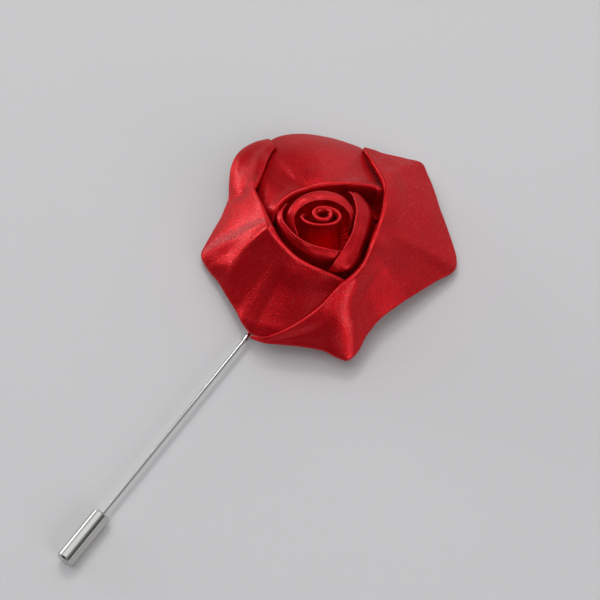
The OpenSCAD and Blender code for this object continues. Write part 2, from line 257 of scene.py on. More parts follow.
# Rings of points to a closed mesh: quads between rings, and rows of quads over each end.
def ringMesh(name, points, uv):
    count, around = points.shape[:2]
    index = np.arange(count * around).reshape(count, around)
    a, b = index[:-1], index[1:]
    quads = np.stack([a, np.roll(a, -1, 1), np.roll(b, -1, 1), b], -1).reshape(-1, 4)
    i = np.arange(around // 2 - 1)
    first, last = index[0], index[-1]
    start = np.stack([first[i], first[around - 1 - i], first[around - 2 - i], first[i + 1]], -1)
    end = np.stack([last[i], last[i + 1], last[around - 2 - i], last[around - 1 - i]], -1)
    return gridPiece(name, points.reshape(-1, 3), np.concatenate([quads, start, end]).tolist(),
                     uv.reshape(-1, 2))


# A smooth-shaded mesh object with its own ribbon coordinates, in metres.
def gridPiece(name, points, faces, uv):
    mesh = bpy.data.meshes.new(name)
    mesh.from_pydata(points, [], faces)
    layer = mesh.uv_layers.new(name="ribbon")
    corner = np.empty(len(mesh.loops), np.int32)
    mesh.loops.foreach_get("vertex_index", corner)
    layer.data.foreach_set("uv", uv[corner].ravel())
    mesh.polygons.foreach_set("use_smooth", np.ones(len(mesh.polygons), bool))
    mesh.update()
    piece = bpy.data.objects.new(name, mesh)
    bpy.context.scene.collection.objects.link(piece)
    return piece


# Sections in the plane of radius and height, turned round the rose's middle.
def standSections(rings, turns):
    angle = np.radians(turns + rose["turn"])[:, None]
    radius, height = rings[..., 0], rings[..., 1]
    points = np.stack([radius * np.cos(angle), radius * np.sin(angle), height], -1)
    return points + np.array(rose["place"])


# Ribbon coordinates: along the turn at the middle radius, and across it along the
# ring, the same from both sides of the wall.
def ribbonUv(rings, turns):
    step = np.linalg.norm(np.diff(rings, axis=1, append=rings[:, :1]), axis=-1)
    along = np.cumsum(step, 1) - step
    total = along[:, -1:] + step[:, -1:]
    across = np.minimum(along, total - along)
    u = np.radians(turns)[:, None] * rose["ribbonRadius"] + np.zeros_like(along)
    return np.stack([u, across], -1)


# Each table's columns are turn, rim radius, rim height, hem radius, hem height, flap, tuck
# and belly: turns in degrees, flap and tuck from 0 for none to 1 for whole. flat is the
# ribbon before it was folded, ends are degrees and share of the thickness at both ends,
# and a crease's path is turn and share of the outer side.
outerPetals = {
    "outer_petal_top": {
        "flat": (42 * mm, 28 * mm),
        "sections": 260,
        "ends": ((8, 0.3), (12, 0.3)),
        "seed": 0.4,
        "table": [
            [12, 0.572, 0.490, 0.66, 0.42, 0.50, 0.0, 0.00],
            [18, 0.576, 0.530, 0.67, 0.41, 0.55, 0.0, 0.00],
            [23, 0.582, 0.560, 0.67, 0.40, 0.60, 0.0, 0.00],
            [27, 0.574, 0.590, 0.66, 0.39, 0.70, 0.0, 0.00],
            [30, 0.552, 0.640, 0.65, 0.39, 0.80, 0.0, 0.00],
            [33, 0.550, 0.708, 0.65, 0.38, 0.82, 0.0, 0.00],
            [36, 0.530, 0.740, 0.67, 0.37, 0.84, 0.0, 0.00],
            [41, 0.488, 0.757, 0.72, 0.35, 1.0, 0.0, 0.00],
            [48, 0.438, 0.772, 0.78, 0.30, 1.0, 0.0, 0.00],
            [54, 0.408, 0.780, 0.83, 0.25, 1.0, 0.0, 0.01],
            [59, 0.386, 0.781, 0.88, 0.20, 1.0, 0.0, 0.02],
            [64, 0.366, 0.781, 0.935, 0.17, 1.0, 0.1, 0.04],
            [69, 0.350, 0.781, 0.995, 0.17, 1.0, 0.5, 0.05],
            [76, 0.335, 0.781, 1.02, 0.17, 1.0, 0.9, 0.06],
            [88, 0.320, 0.781, 1.06, 0.17, 1.0, 1.0, 0.07],
            [98, 0.312, 0.775, 1.10, 0.16, 1.0, 1.0, 0.06],
            [103, 0.312, 0.770, 1.112, 0.16, 1.0, 0.7, 0.055],
            [108, 0.314, 0.769, 1.114, 0.16, 1.0, 0.3, 0.045],
            [113, 0.317, 0.766, 1.092, 0.165, 1.0, 0.0, 0.03],
            [118, 0.321, 0.762, 1.045, 0.190, 1.0, 0.0, 0.01],
            [124, 0.327, 0.758, 0.960, 0.255, 1.0, 0.0, 0.00],
            [130, 0.333, 0.756, 0.86, 0.33, 1.0, 0.0, 0.00],
            [137, 0.341, 0.754, 0.76, 0.385, 1.0, 0.0, 0.00],
            [145, 0.350, 0.748, 0.68, 0.42, 1.0, 0.0, 0.00],
            [153, 0.358, 0.740, 0.64, 0.44, 1.0, 0.0, 0.00],
            [160, 0.364, 0.728, 0.60, 0.45, 0.8, 0.0, 0.00],
            [166, 0.370, 0.695, 0.57, 0.46, 0.5, 0.0, 0.00],
            [172, 0.380, 0.635, 0.55, 0.46, 0.2, 0.0, 0.00],
            [179, 0.400, 0.570, 0.54, 0.46, 0.0, 0.0, 0.00],
        ],
        "creases": [
            {"path": [(48, 0.16), (70, 0.20), (95, 0.22), (120, 0.24), (150, 0.30)],
             "width": 1.8 * mm, "height": -0.2 * mm, "crest": 1.2 * mm},
            {"path": [(38, 0.12), (60, 0.07), (100, 0.05)], "width": 1.6 * mm, "height": 0.35 * mm,
             "crest": 1.2 * mm, "power": 2},
        ],
    },
    "outer_petal_left": {
        "flat": (42 * mm, 36 * mm),
        "sections": 320,
        "ends": ((30, 0.1), (10, 0.4)),
        "seed": 1.7,
        "table": [
            [112, 0.945, 0.366, 1.124, 0.165, 0.0, 0.0, 0.04],
            [115, 0.910, 0.388, 1.134, 0.165, 0.0, 0.0, 0.04],
            [118, 0.866, 0.420, 1.142, 0.165, 0.0, 0.0, 0.03],
            [124, 0.785, 0.495, 1.135, 0.165, 0.0, 0.3, 0.03],
            [129, 0.735, 0.522, 1.105, 0.165, 0.0, 0.5, 0.03],
            [135, 0.692, 0.558, 1.035, 0.165, 0.0, 0.7, 0.03],
            [140, 0.668, 0.595, 0.965, 0.165, 0.0, 0.9, 0.03],
            [146, 0.640, 0.635, 0.895, 0.165, 0.0, 1.0, 0.02],
            [151, 0.580, 0.670, 0.862, 0.16, 0.0, 1.0, 0.02],
            [160, 0.500, 0.720, 0.845, 0.14, 0.0, 1.0, 0.02],
            [168, 0.455, 0.745, 0.865, 0.11, 0.0, 1.0, 0.02],
            [178, 0.418, 0.765, 0.90, 0.09, 0.1, 1.0, 0.02],
            [184, 0.405, 0.778, 0.93, 0.07, 1.0, 1.0, 0.01],
            [192, 0.395, 0.788, 0.90, 0.09, 1.0, 1.0, 0.00],
            [203, 0.387, 0.795, 0.86, 0.13, 1.0, 1.0, 0.00],
            [221, 0.387, 0.805, 0.89, 0.17, 1.0, 1.0, 0.00],
            [231, 0.398, 0.812, 0.95, 0.20, 1.0, 1.0, 0.00],
            [237, 0.408, 0.812, 0.985, 0.22, 1.0, 0.9, 0.00],
            [242, 0.416, 0.812, 0.970, 0.235, 1.0, 0.4, 0.00],
            [248, 0.428, 0.812, 0.935, 0.265, 0.9, 0.0, 0.00],
            [255, 0.442, 0.812, 0.905, 0.295, 0.6, 0.0, 0.00],
            [263, 0.462, 0.810, 0.87, 0.325, 0.3, 0.0, 0.00],
            [271, 0.487, 0.805, 0.83, 0.35, 0.0, 0.0, 0.00],
            [279, 0.522, 0.795, 0.79, 0.37, 0.0, 0.0, 0.00],
            [285, 0.552, 0.765, 0.77, 0.38, 0.0, 0.0, 0.00],
            [291, 0.578, 0.700, 0.76, 0.39, 0.0, 0.0, 0.00],
            [300, 0.610, 0.600, 0.74, 0.40, 0.0, 0.0, 0.00],
        ],
        "creases": [
            {"path": [(184, 1.0), (194, 0.92), (202, 0.76), (200, 0.53), (195, 0.28), (193, 0.05)],
             "width": 2.3 * mm, "height": 0.72 * mm, "crest": 0.8 * mm},
            {"path": [(200, 0.08), (230, 0.07), (266, 0.07)], "width": 1.7 * mm,
             "height": 0.42 * mm, "crest": 1.2 * mm, "power": 2},
            {"path": [(229, 1.0), (235, 0.93), (241, 0.88), (249, 0.93)],
             "width": 1.0 * mm, "height": 0.22 * mm},
            {"path": [(145, 0.0), (148, 0.5), (150, 0.95)], "width": 0.9 * mm, "height": -0.3 * mm},
            {"path": [(132, 0.55), (142, 0.45)], "width": 2.2 * mm, "height": -0.4 * mm,
             "crest": 1.2 * mm, "power": 2},
        ],
    },
    "outer_petal_right": {
        "flat": (42 * mm, 40 * mm),
        "sections": 340,
        "ends": ((16, 0.15), (5, 0.5)),
        "seed": 2.9,
        "table": [
            [238, 1.015, 0.272, 1.030, 0.250, 0.0, 0.0, 0.00],
            [244, 0.985, 0.308, 1.018, 0.250, 0.0, 0.0, 0.00],
            [252, 0.912, 0.418, 0.980, 0.25, 0.0, 0.0, 0.00],
            [261, 0.825, 0.550, 0.960, 0.25, 0.0, 0.3, 0.00],
            [271, 0.732, 0.675, 0.98, 0.24, 0.0, 0.6, 0.00],
            [277, 0.672, 0.735, 1.035, 0.21, 0.0, 0.8, -0.01],
            [281, 0.640, 0.765, 1.06, 0.19, 0.0, 1.0, -0.02],
            [286, 0.614, 0.785, 1.01, 0.20, 0.0, 1.0, -0.01],
            [293, 0.592, 0.800, 0.91, 0.23, 0.0, 1.0, 0.00],
            [305, 0.548, 0.815, 0.84, 0.25, 0.2, 1.0, 0.01],
            [323, 0.478, 0.815, 0.86, 0.23, 1.0, 1.0, 0.02],
            [340, 0.450, 0.805, 0.97, 0.16, 1.0, 1.0, 0.02],
            [349, 0.455, 0.795, 1.08, 0.09, 1.0, 1.0, 0.02],
            [355, 0.465, 0.790, 1.085, 0.07, 1.0, 1.0, 0.02],
            [361, 0.478, 0.785, 1.06, 0.10, 1.0, 1.0, 0.02],
            [368, 0.497, 0.775, 1.04, 0.14, 1.0, 1.0, 0.02],
            [378, 0.532, 0.755, 1.03, 0.18, 1.0, 1.0, 0.03],
            [384, 0.562, 0.734, 1.045, 0.185, 0.30, 1.0, 0.03],
            [388, 0.585, 0.715, 1.06, 0.19, 0.0, 1.0, 0.03],
            [397, 0.640, 0.655, 1.11, 0.19, 0.0, 0.9, 0.02],
            [403, 0.680, 0.605, 1.15, 0.19, 0.0, 0.45, 0.02],
            [409, 0.725, 0.550, 1.09, 0.20, 0.0, 0.25, 0.01],
            [418, 0.812, 0.450, 1.015, 0.22, 0.0, 0.05, 0.00],
            [423, 0.885, 0.365, 1.000, 0.23, 0.0, 0.0, 0.00],
            [428, 0.960, 0.275, 0.995, 0.23, 0.0, 0.0, 0.00],
        ],
        "creases": [
            {"path": [(291, 0.0), (286, 0.21), (284, 0.42), (285, 0.72), (284, 0.98)],
             "width": 2.2 * mm, "height": 0.5 * mm, "crest": 1.0 * mm},
            {"path": [(300, 0.09), (330, 0.07), (365, 0.07), (398, 0.1)], "width": 1.7 * mm,
             "height": 0.38 * mm, "crest": 1.2 * mm, "power": 2},
            {"path": [(352, 0.95), (345, 0.6), (330, 0.35)], "width": 3.0 * mm, "height": 0.35 * mm,
             "crest": 2 * mm, "power": 2},
            {"path": [(300, 0.55), (318, 0.6), (334, 0.7)], "width": 3.2 * mm, "height": -0.45 * mm,
             "crest": 2 * mm, "power": 2},
            {"path": [(260, 0.6), (272, 0.6)], "width": 2.5 * mm, "height": -0.35 * mm,
             "crest": 1.5 * mm, "power": 2},
        ],
    },
}

# The same with turn, rim radius and height, shoulder radius and height, and foot radius.
innerPetals = {
    "inner_petal_back": {
        "flat": (12 * mm, 24 * mm),
        "sections": 200,
        "ends": ((14, 0.4), (14, 0.4)),
        "seed": 0.9,
        "table": [
            [-28, 0.240, 0.700, 0.248, 0.62, 0.248],
            [-19, 0.240, 0.770, 0.258, 0.70, 0.258],
            [-10, 0.236, 0.825, 0.262, 0.76, 0.264],
            [-1, 0.230, 0.868, 0.265, 0.80, 0.268],
            [17, 0.197, 0.895, 0.252, 0.835, 0.262],
            [30, 0.175, 0.902, 0.246, 0.842, 0.258],
            [44, 0.157, 0.906, 0.240, 0.846, 0.255],
            [70, 0.135, 0.909, 0.228, 0.848, 0.250],
            [92, 0.126, 0.908, 0.221, 0.846, 0.245],
            [118, 0.133, 0.905, 0.223, 0.842, 0.245],
            [142, 0.150, 0.900, 0.233, 0.835, 0.250],
            [157, 0.170, 0.890, 0.245, 0.822, 0.256],
            [175, 0.197, 0.866, 0.256, 0.795, 0.262],
            [188, 0.211, 0.830, 0.256, 0.760, 0.262],
            [203, 0.214, 0.780, 0.248, 0.705, 0.256],
            [216, 0.216, 0.700, 0.240, 0.630, 0.248],
            [226, 0.218, 0.620, 0.236, 0.550, 0.244],
        ],
    },
    "inner_petal_left": {
        "flat": (12 * mm, 21 * mm),
        "sections": 180,
        "ends": ((9, 0.4), (8, 0.5)),
        "seed": 2.1,
        "table": [
            [143, 0.304, 0.690, 0.306, 0.60, 0.304],
            [150, 0.300, 0.765, 0.308, 0.68, 0.306],
            [159, 0.300, 0.808, 0.316, 0.73, 0.314],
            [169, 0.304, 0.830, 0.334, 0.75, 0.328],
            [178, 0.304, 0.842, 0.334, 0.77, 0.330],
            [186, 0.301, 0.850, 0.328, 0.78, 0.328],
            [200, 0.285, 0.860, 0.314, 0.79, 0.314],
            [213, 0.275, 0.864, 0.310, 0.79, 0.311],
            [231, 0.273, 0.868, 0.312, 0.79, 0.314],
            [249, 0.280, 0.870, 0.330, 0.79, 0.330],
            [269, 0.300, 0.875, 0.362, 0.79, 0.355],
            [282, 0.326, 0.872, 0.385, 0.78, 0.375],
            [294, 0.354, 0.848, 0.394, 0.74, 0.383],
            [301, 0.370, 0.815, 0.396, 0.71, 0.386],
            [308, 0.383, 0.760, 0.396, 0.66, 0.388],
        ],
    },
    "inner_petal_right": {
        "flat": (12 * mm, 24 * mm),
        "sections": 190,
        "ends": ((8, 0.4), (9, 0.4)),
        "seed": 3.3,
        "table": [
            [268, 0.452, 0.600, 0.456, 0.54, 0.430],
            [274, 0.458, 0.670, 0.464, 0.61, 0.430],
            [278, 0.460, 0.760, 0.472, 0.68, 0.430],
            [282, 0.446, 0.820, 0.478, 0.75, 0.430],
            [286, 0.422, 0.848, 0.485, 0.77, 0.430],
            [295, 0.379, 0.868, 0.496, 0.77, 0.430],
            [307, 0.332, 0.875, 0.455, 0.765, 0.425],
            [323, 0.301, 0.876, 0.396, 0.775, 0.390],
            [345, 0.276, 0.876, 0.372, 0.765, 0.402],
            [368, 0.286, 0.875, 0.390, 0.755, 0.440],
            [387, 0.303, 0.863, 0.385, 0.755, 0.448],
            [400, 0.322, 0.848, 0.374, 0.755, 0.410],
            [406, 0.328, 0.815, 0.360, 0.720, 0.382],
            [410, 0.330, 0.765, 0.347, 0.680, 0.355],
            [414, 0.330, 0.690, 0.337, 0.610, 0.338],
        ],
    },
}

coreRoll = {
    "flat": (12 * mm, 24 * mm),
    "steps": 460,
    "levels": 29,
    "place": (0.2 * mm, -0.9 * mm),
    "drift": (0.25 * mm, 0.45 * mm),  # of the heart from the middle of the outer turn
    "oval": (0.54, 0.80),  # depth over width, of the outer turn and of the heart
    "slant": 0.45,  # how much lower the inner edge of the wound top lies, per thickness
    "inward": (2, 0.3),  # how soon the drift and the rounder oval begin: rate, and delay
    "topSteps": 15,
    # turn, radius in mm, thickness in mm, height of the top in mm
    "table": [
        [140, 3.35, 0.40, 13.6],
        [160, 3.62, 0.60, 14.5],
        [185, 3.75, 0.80, 15.0],
        [225, 3.62, 0.90, 15.1],
        [270, 3.40, 0.90, 15.1],
        [315, 3.42, 0.90, 15.1],
        [350, 3.38, 0.95, 15.15],
        [385, 2.90, 1.00, 15.2],
        [415, 2.30, 1.05, 15.3],
        [450, 1.82, 1.15, 15.4],
        [520, 1.55, 1.25, 15.5],
        [600, 1.48, 1.30, 15.5],
        [680, 1.42, 1.20, 15.45],
        [740, 1.35, 0.90, 15.4],
        [785, 1.20, 0.40, 15.2],
    ],
}


# The wound middle: an oval spiral wall by its table, with a rounded top that slants
# down towards the heart.
def coreRings():
    table = coreRoll["table"]
    turns = np.linspace(table[0][0], table[-1][0], coreRoll["steps"])
    radius, thick, top = rowsAt(table, turns).T * mm
    angle = np.radians(turns)
    share = (turns - turns[0]) / (turns[-1] - turns[0])
    rate, delay = coreRoll["inward"]
    inwards = smooth(share * rate - delay)
    oval = coreRoll["oval"][0] + (coreRoll["oval"][1] - coreRoll["oval"][0]) * inwards
    line = np.stack([radius * np.cos(angle), oval * radius * np.sin(angle)], -1)
    line += np.array(coreRoll["place"]) + inwards[:, None] * np.array(coreRoll["drift"])
    tangent = unit(np.gradient(line, axis=0))
    outward = np.stack([tangent[:, 1], -tangent[:, 0]], -1)
    half = (thick / 2)[:, None]
    bow = np.pi * evenly(coreRoll["topSteps"])[1:-1]
    up = evenly(coreRoll["levels"])
    shoulder = top[:, None] - half * (1 + coreRoll["slant"])
    outer = rose["foot"] + (shoulder + half * coreRoll["slant"] - rose["foot"]) * up
    inner = rose["foot"] + (shoulder - half * coreRoll["slant"] - rose["foot"]) * up
    over = shoulder + half * np.sin(bow) + half * coreRoll["slant"] * np.cos(bow)
    sideways = np.concatenate([half + 0 * up, half * np.cos(bow), -half + 0 * up], 1)
    z = np.concatenate([outer, over, inner[:, ::-1]], 1)
    flat = line[:, None] + outward[:, None] * sideways[..., None]
    spin = radians(rose["turn"])
    x = flat[..., 0] * cos(spin) - flat[..., 1] * sin(spin)
    y = flat[..., 0] * sin(spin) + flat[..., 1] * cos(spin)
    points = np.stack([x, y, z], -1) + np.array(rose["place"])
    length = np.cumsum(np.linalg.norm(np.diff(line, axis=0, prepend=line[:1]), axis=-1))
    uv = np.stack([length[:, None] + 0 * z, z], -1)
    return points[:, ::-1], uv[:, ::-1]


gatheredBase = {
    "flat": (60 * mm, 13 * mm),
    "around": 408,
    "edge": 24,
    "spans": 26,
    "innermost": 0.02,  # share of the radius where the fans at the middle begin
    "pleats": 34,
    "depth": 0.22 * mm,
    "sharpness": 0.7,  # power of the pleats' sine, lower for narrower valleys
    "wander": ((3, 0.025, 1), (7, 0.02, 0)),  # waves round, size and start of the pleats' sway
    "ribbonRadius": 8 * mm,
}


# The gathered round under the petals: a flat disc with a round edge, and pleats that
# run out from its middle, as a sine of the angle that grows with the radius.
def gatheredGrid():
    low, high = baseLow[2], baseHigh[2]
    thick = (high - low) / 2
    outer = (baseHigh[0] - baseLow[0]) / 2 - thick
    span = np.linspace(gatheredBase["innermost"], 1, gatheredBase["spans"])
    edge = np.linspace(-np.pi / 2, np.pi / 2, gatheredBase["edge"])[1:-1]
    radius = np.concatenate([span * outer, outer + thick * np.cos(edge), span[::-1] * outer])
    height = np.concatenate([low + 0 * span, (low + high) / 2 + thick * np.sin(edge), high + 0 * span])
    angle = np.linspace(0, 2 * np.pi, gatheredBase["around"], endpoint=False)[:, None]
    grow = smooth(radius / outer) * gatheredBase["depth"]
    sway = sum(size * np.sin(around * angle + start) for around, size, start in gatheredBase["wander"])
    ripple = np.abs(np.sin(gatheredBase["pleats"] / 2 * (angle + sway)))
    pleat = grow * (ripple ** gatheredBase["sharpness"] - 1)
    middle = (low + high) / 2
    z = middle + (height - middle) * (1 + pleat / thick)
    r = radius + pleat * (radius > outer)
    points = np.stack([r * np.cos(angle), r * np.sin(angle), z], -1)
    points[..., :2] += rose["place"][:2]
    count, rows = points.shape[:2]
    index = np.arange(count * rows).reshape(count, rows)
    a, b = index, np.roll(index, -1, 0)
    quads = np.stack([a[:, :-1], b[:, :-1], b[:, 1:], a[:, 1:]], -1).reshape(-1, 4)
    uv = np.stack([radius + 0 * angle, angle * gatheredBase["ribbonRadius"] + 0 * radius], -1)
    poles = [[*rose["place"][:2], low], [*rose["place"][:2], high]]
    points = np.concatenate([points.reshape(-1, 3), poles])
    uv = np.concatenate([uv.reshape(-1, 2), np.zeros((2, 2))])
    bottom = np.stack([0 * a[:, 0] + count * rows, b[:, 0], a[:, 0]], -1)
    top = np.stack([0 * a[:, 0] + count * rows + 1, a[:, -1], b[:, -1]], -1)
    return points, quads.tolist() + bottom.tolist() + top.tolist(), uv


print("shapes ready")


# A socket that ordinary operators work on: each adds the Math node of its name.
class Wire:
    def __init__(self, tree, socket):
        self.tree = tree
        self.socket = socket

    def maths(self, operation, first, second):
        return self.tree.node("ShaderNodeMath", {"operation": operation}, {0: first, 1: second})

    def __add__(self, other):
        return self.maths("ADD", self, other)

    def __mul__(self, other):
        return self.maths("MULTIPLY", self, other)

    def __sub__(self, other):
        return self.maths("SUBTRACT", self, other)

    def __rsub__(self, other):
        return self.maths("SUBTRACT", other, self)

    __radd__ = __add__
    __rmul__ = __mul__


# The node tree of a new material, or of the world, with one method that adds any node.
class Finish:
    def __init__(self, holder):
        holder.use_nodes = True
        self.holder = holder
        self.nodes = holder.node_tree.nodes
        self.links = holder.node_tree.links

    # kind is the node's type; settings are set first; inputs are values or wires
    def node(self, kind, settings, inputs, output=0):
        made = self.nodes.new(kind)
        for key, value in settings.items():
            setattr(made, key, value)
        for key, value in inputs.items():
            self.feed(made.inputs[key], value)
        return Wire(self, made.outputs[output])

    def feed(self, socket, value):
        if isinstance(value, Wire):
            self.links.new(value.socket, socket)
        else:
            socket.default_value = value

    def feedShader(self, name, inputs):
        for key, value in inputs.items():
            self.feed(self.nodes[name].inputs[key], value)

    # noise at a point, drawn out by the scale along each axis
    def noise(self, point, scale, detail):
        drawn = self.node("ShaderNodeMapping", {}, {"Vector": point, "Scale": scale})
        return self.node("ShaderNodeTexNoise", {}, {"Vector": drawn, "Scale": 1.0, "Detail": detail})

    # 0 below low, 1 above high, and smooth between
    def step(self, value, low, high):
        return self.node("ShaderNodeMapRange", {"interpolation_type": "SMOOTHSTEP"},
                         {"Value": value, "From Min": low, "From Max": high})

    def blend(self, factor, first, second):
        return self.node("ShaderNodeMix", {"data_type": "RGBA"},
                         {"Factor": factor, "A": first, "B": second}, 2)


satin = {
    "body": (0.56, 0.004, 0.009, 1),
    "deep": (0.50, 0.003, 0.007, 1),
    # painted highlight: the pink that the brightest threads' sparks are painted with
    "paintedSparkColour": (1.0, 0.22, 0.25, 1),
    "through": (0.98, 0.01, 0.016, 1),  # painted light: a lighter red deep in the rose, in place of light that thin cloth lets through
    "paintedLightDepths": (8.5 * mm, 13.2 * mm),  # where the painted light starts to fade and ends, round the rose's middle
    "metallic": 0.70,
    "roughness": 0.32,
    "roughnessDrift": 0.1,  # with the clouds
    "sparkSmoother": 0.12,
    "anisotropy": 0.6,
    "turned": 0.25,  # of the highlight, in whole turns
    "tint": (1.0, 0.4, 0.42, 1),
    "specular": 0.3,
    "coat": 0.2,
    "sparkCoat": 0.5,  # more of it on the brightest threads
    "coatRoughness": 0.22,
    "float": (0.55 * mm, 0.12 * mm),  # length and width of a floating thread
    "lean": radians(30),  # of the threads to the ribbon's length
    "grains": 2200,  # in a metre
    "clouds": 130,
    "cloudEdges": (0.35, 0.7),
    "sparkMix": (0.6, 0.4),  # of threads and grains
    "sparkEdges": (0.57, 0.70),
    # how much of the painted highlight colour the sparks take
    "paintedSparkShare": 0.14,
    "relief": 0.07 * mm,
    "reliefMix": (0.7, 0.6),  # of threads and grains
}


# Satin: threads that float over the weave, as noise drawn out along them. They tilt the
# surface a little, and the brightest catch the light as small sparks, which are also painted
# into the colour as a pink highlight. The colour drifts with slow clouds of noise, and has
# painted light near the rose's middle: a lighter red in place of light through the thin cloth.
def satinFinish(name):
    finish = Finish(bpy.data.materials.new(name))
    uv = finish.node("ShaderNodeUVMap", {"uv_map": "ribbon"}, {}, "UV")
    place = finish.node("ShaderNodeTexCoord", {}, {}, "Object")
    length, width = satin["float"]
    turned = finish.node("ShaderNodeMapping", {}, {"Vector": uv, "Rotation": (0, 0, satin["lean"])})
    threads = finish.noise(turned, (1 / length, 1 / width, 1), 1.0)
    grain = finish.noise(place, (satin["grains"],) * 3, 1.0)
    cloud = finish.noise(place, (satin["clouds"],) * 3, 3.0)
    threadPart, grainPart = satin["sparkMix"]
    spark = finish.step(threads * threadPart + grain * grainPart, *satin["sparkEdges"])
    body = finish.blend(finish.step(cloud, *satin["cloudEdges"]), satin["body"], satin["deep"])
    # Painted light: the red turns lighter deep in the rose, in place of light passing through the thin
    # cloth.
    fromMiddle = finish.node("ShaderNodeVectorMath", {"operation": "DISTANCE"},
                             {0: place, 1: (*rose["place"][:2], 0)}, "Value")
    body = finish.blend(1 - finish.step(fromMiddle, *satin["paintedLightDepths"]), body, satin["through"])
    drift = (cloud - 0.5) * satin["roughnessDrift"]
    threadRise, grainRise = satin["reliefMix"]
    bump = finish.node("ShaderNodeBump", {}, {"Strength": 1.0, "Distance": satin["relief"],
                                              "Height": threads * threadRise + grain * grainRise})
    # The base colour has the sparks painted in as a pink highlight.
    finish.feedShader("Principled BSDF", {
        "Base Color": finish.blend(spark * satin["paintedSparkShare"], body, satin["paintedSparkColour"]),
        "Roughness": satin["roughness"] + drift - spark * satin["sparkSmoother"],
        "Normal": bump,
        "Metallic": satin["metallic"],
        "Anisotropic": satin["anisotropy"],
        "Anisotropic Rotation": satin["turned"],
        "Specular IOR Level": satin["specular"],
        "Specular Tint": satin["tint"],
        "Coat Weight": spark * satin["sparkCoat"] + satin["coat"],
        "Coat Roughness": satin["coatRoughness"],
    })
    return finish.holder


needleWire = {"colour": (0.62, 0.61, 0.60, 1), "roughness": 0.16, "lines": (6000, 60, 6000)}
turnedCap = {"colour": (0.62, 0.61, 0.58, 1), "roughness": 0.2, "lines": (90, 5200, 90)}
steelWear = {
    "smudges": 260,  # in a metre
    "dull": 0.86,  # of the colour, where a smudge is
    "smudgeRoughness": 0.06,
    "lineRoughness": 0.1,
    "lineDepth": 0.01 * mm,
    "lineStrength": 0.2,
}


# Drawn wire has fine lines along it, and turned metal fine rings round its axis: noise
# drawn out the same way, under slow smudges.
def steelFinish(name, steel):
    finish = Finish(bpy.data.materials.new(name))
    place = finish.node("ShaderNodeTexCoord", {}, {}, "Object")
    lines = finish.noise(place, steel["lines"], 3.0)
    smudge = finish.noise(place, (steelWear["smudges"],) * 3, 3.0)
    bump = finish.node("ShaderNodeBump", {}, {
        "Strength": steelWear["lineStrength"], "Distance": steelWear["lineDepth"], "Height": lines})
    dull = [steelWear["dull"] * share for share in steel["colour"][:3]] + [1]
    uneven = (lines - 0.5) * steelWear["lineRoughness"]
    worn = (smudge - 0.5) * steelWear["smudgeRoughness"]
    finish.feedShader("Principled BSDF", {
        "Base Color": finish.blend(smudge, steel["colour"], dull),
        "Metallic": 1.0,
        "Roughness": steel["roughness"] + uneven + worn,
        "Normal": bump,
    })
    return finish.holder


satinRed = satinFinish("red satin")
needleSteel = steelFinish("drawn steel", needleWire)
capSteel = steelFinish("turned steel", turnedCap)
print("finishes ready")


# A cloth piece on the flower, in the record's satin, in place of its plain CAD solid.
def addCloth(piece, node):
    piece.data.materials.append(satinRed)
    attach(piece, "flower")
    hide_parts(node)


# A petal: its sections at even turns, with creases and waves laid on the outer side.
def petalPiece(node, petal, sectionLines):
    table = petal["table"]
    turns = np.linspace(table[0][0], table[-1][0], petal["sections"])
    taper = endTaper(turns, petal["ends"])
    lines, shares, takes = sectionLines(rowsAt(table, turns), taper)
    tangent = unit(np.gradient(lines, axis=1))
    normal = np.stack([-tangent[..., 1], tangent[..., 0]], -1)
    lift = creaseHeights(petal.get("creases", []), turns, shares) + waves(turns, shares, petal["seed"])
    lines = lines + normal * (lift * takes)[..., None]
    rings = wallRings(lines, rose["wall"] * taper)
    return ringMesh(node + "_satin", standSections(rings, turns), ribbonUv(rings, turns))


for petals, sectionLines in [(outerPetals, outerLines), (innerPetals, innerLines)]:
    for node, petal in petals.items():
        piece = petalPiece(node, petal, sectionLines)
        addCloth(piece, node)

core = ringMesh("core_roll_satin", *coreRings())
addCloth(core, "core_roll")
base = gridPiece("gathered_base_satin", *gatheredGrid())
addCloth(base, "gathered_base")

metalParts = [("stick_pin", "needle_steel", needleSteel), ("pin_cap", "cap_metal", capSteel)]
for node, slot, material in metalParts:
    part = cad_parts[node]
    part.data.materials.clear()
    part.data.materials.append(material)
print("pieces ready")

view = {
    "azimuth": 35.0,
    "elevation": 60.0,
    "distance": 0.33,
    "pixelsPerMm": 5.0,  # at the rose
    "framePixels": 600,
    "anchorPixel": (320, 247),  # where the rose's middle shows
    "anchorHeight": 2 * mm,
    "sensor": 36,
    "clipStart": 0.01,
}


# From the rose towards a place at this azimuth and elevation, in degrees.
def towards(azimuth, elevation):
    turn, lift = radians(azimuth), radians(elevation)
    return Vector((sin(turn) * cos(lift), -cos(turn) * cos(lift), sin(lift)))


# The camera looks from its azimuth and elevation, and is moved sideways so that the
# rose's middle falls on its pixel: pixels over focal pixels, times the distance.
def addCamera():
    back = towards(view["azimuth"], view["elevation"])
    right = Vector((cos(radians(view["azimuth"])), sin(radians(view["azimuth"])), 0))
    up = back.cross(right)
    focal = view["pixelsPerMm"] / mm * view["distance"]
    middle = view["framePixels"] / 2
    across = (view["anchorPixel"][0] - middle) / focal * view["distance"]
    upward = (middle - view["anchorPixel"][1]) / focal * view["distance"]
    anchor = Vector(rose["place"]) + Vector((0, 0, view["anchorHeight"]))
    data = bpy.data.cameras.new("camera")
    data.sensor_width = view["sensor"]
    data.lens = focal * data.sensor_width / view["framePixels"]
    data.clip_start = view["clipStart"]
    camera = bpy.data.objects.new("camera", data)
    place = anchor + back * view["distance"] - right * across - up * upward
    axes = Matrix((right, up, back)).transposed().to_4x4()
    camera.matrix_world = Matrix.Translation(place) @ axes
    bpy.context.scene.collection.objects.link(camera)
    bpy.context.scene.camera = camera


addCamera()

